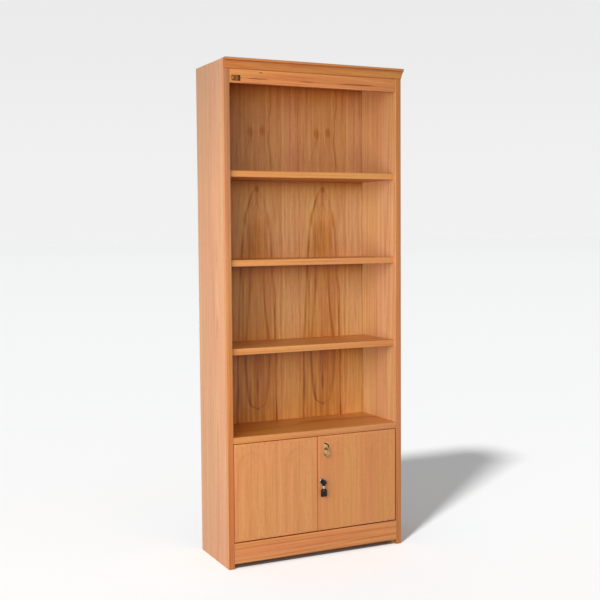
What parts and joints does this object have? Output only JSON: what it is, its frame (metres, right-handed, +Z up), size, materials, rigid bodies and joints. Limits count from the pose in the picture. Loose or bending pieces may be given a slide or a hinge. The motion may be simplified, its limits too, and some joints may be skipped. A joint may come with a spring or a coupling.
{
  "type": "bookcase with cabinet doors",
  "caption": "Tall veneered bookcase with open shelves over a low two-door cabinet, coved crown, drop pull, cam lock with a folding-bow key and concealed pivot hinges.",
  "frame": {"origin": "on the floor, under the centre of the overall bounding box", "axes": "+Z up; +Y towards the back panel, so the doors face -Y; +X towards the door with the lock"},
  "size_m": [0.79, 0.33, 2],
  "materials": {
    "veneer": "satin lacquered hardwood veneer",
    "solid_wood": "satin lacquered hardwood",
    "back_veneer": "satin lacquered figured veneer",
    "softwood": "bare sawn",
    "brass": "aged, dull",
    "chrome": "polished",
    "steel": "zinc plated",
    "black_plastic": "moulded, satin"
  },
  "bodies": {
    "carcass": {"side_panel_left": "veneer", "side_panel_right": "veneer", "top_panel": "veneer", "shelf_lower": "veneer", "shelf_middle": "veneer", "shelf_upper": "veneer", "cabinet_top": "veneer", "bottom_board": "veneer", "side_lipping_left": "solid_wood", "side_lipping_right": "solid_wood", "crown_moulding": "solid_wood", "frieze_rail": "solid_wood", "shelf_lipping_lower": "solid_wood", "shelf_lipping_middle": "solid_wood", "shelf_lipping_upper": "solid_wood", "cabinet_top_lipping": "solid_wood", "bottom_board_lipping": "solid_wood", "plinth_board": "solid_wood", "door_stop_left": "solid_wood", "door_stop_right": "solid_wood", "back_panel": "back_veneer", "plinth_block_left": "softwood", "plinth_block_right": "softwood", "blank_plate": "brass", "plate_pin_left": "brass", "plate_pin_right": "brass", "hinge_frame_leaf_left_top": "brass", "hinge_frame_leaf_left_bottom": "brass", "hinge_frame_leaf_right_top": "brass", "hinge_frame_leaf_right_bottom": "brass", "bolt_keeper": "steel", "hinge_washer_left_top": "steel", "hinge_washer_left_bottom": "steel", "hinge_washer_right_top": "steel", "hinge_washer_right_bottom": "steel"},
    "door_left": {"door_panel_left": "veneer", "door_lipping_left": "solid_wood", "hinge_door_leaf_left_top": "brass", "hinge_door_leaf_left_bottom": "brass", "strike_block": "solid_wood", "bolt_case": "steel"},
    "door_right": {"door_panel_right": "veneer", "door_lipping_right": "solid_wood", "hinge_door_leaf_right_top": "brass", "hinge_door_leaf_right_bottom": "brass", "lock_housing": "chrome", "lock_nut": "steel", "pull_plate": "brass", "pull_post": "brass", "pull_nut": "brass"},
    "bolt": {"bolt_rod": "steel"},
    "lock_core": {"lock_plug": "chrome", "lock_cam": "steel", "cam_screw": "steel", "key_shank": "steel", "key_pin": "steel"},
    "key_bow": {"key_bow": "black_plastic"},
    "pull": {"pull_ring": "brass"}
  },
  "joints": [
    {"name": "door_left_hinge", "type": "hinge", "parent": "carcass", "child": "door_left", "pos_m": [-0.356, -0.131, 0.3015], "axis": [0, 0, -1], "range_deg": [0, 110]},
    {"name": "door_right_hinge", "type": "hinge", "parent": "carcass", "child": "door_right", "pos_m": [0.356, -0.131, 0.3015], "axis": [0, 0, 1], "range_deg": [0, 110]},
    {"name": "bolt_slide", "type": "slide", "parent": "door_left", "child": "bolt", "axis": [0, 0, 1], "range_m": [0, 0.008]},
    {"name": "lock_turn", "type": "hinge", "parent": "door_right", "child": "lock_core", "pos_m": [0.02, -0.138, 0.311], "axis": [0, -1, 0], "range_deg": [0, 90]},
    {"name": "key_fold", "type": "hinge", "parent": "lock_core", "child": "key_bow", "pos_m": [0.02, -0.152, 0.311], "axis": [-1, 0, 0], "range_deg": [0, 90]},
    {"name": "pull_swing", "type": "hinge", "parent": "door_right", "child": "pull", "pos_m": [0.039, -0.1476, 0.446], "axis": [-1, 0, 0], "range_deg": [-5, 95]}
  ]
}
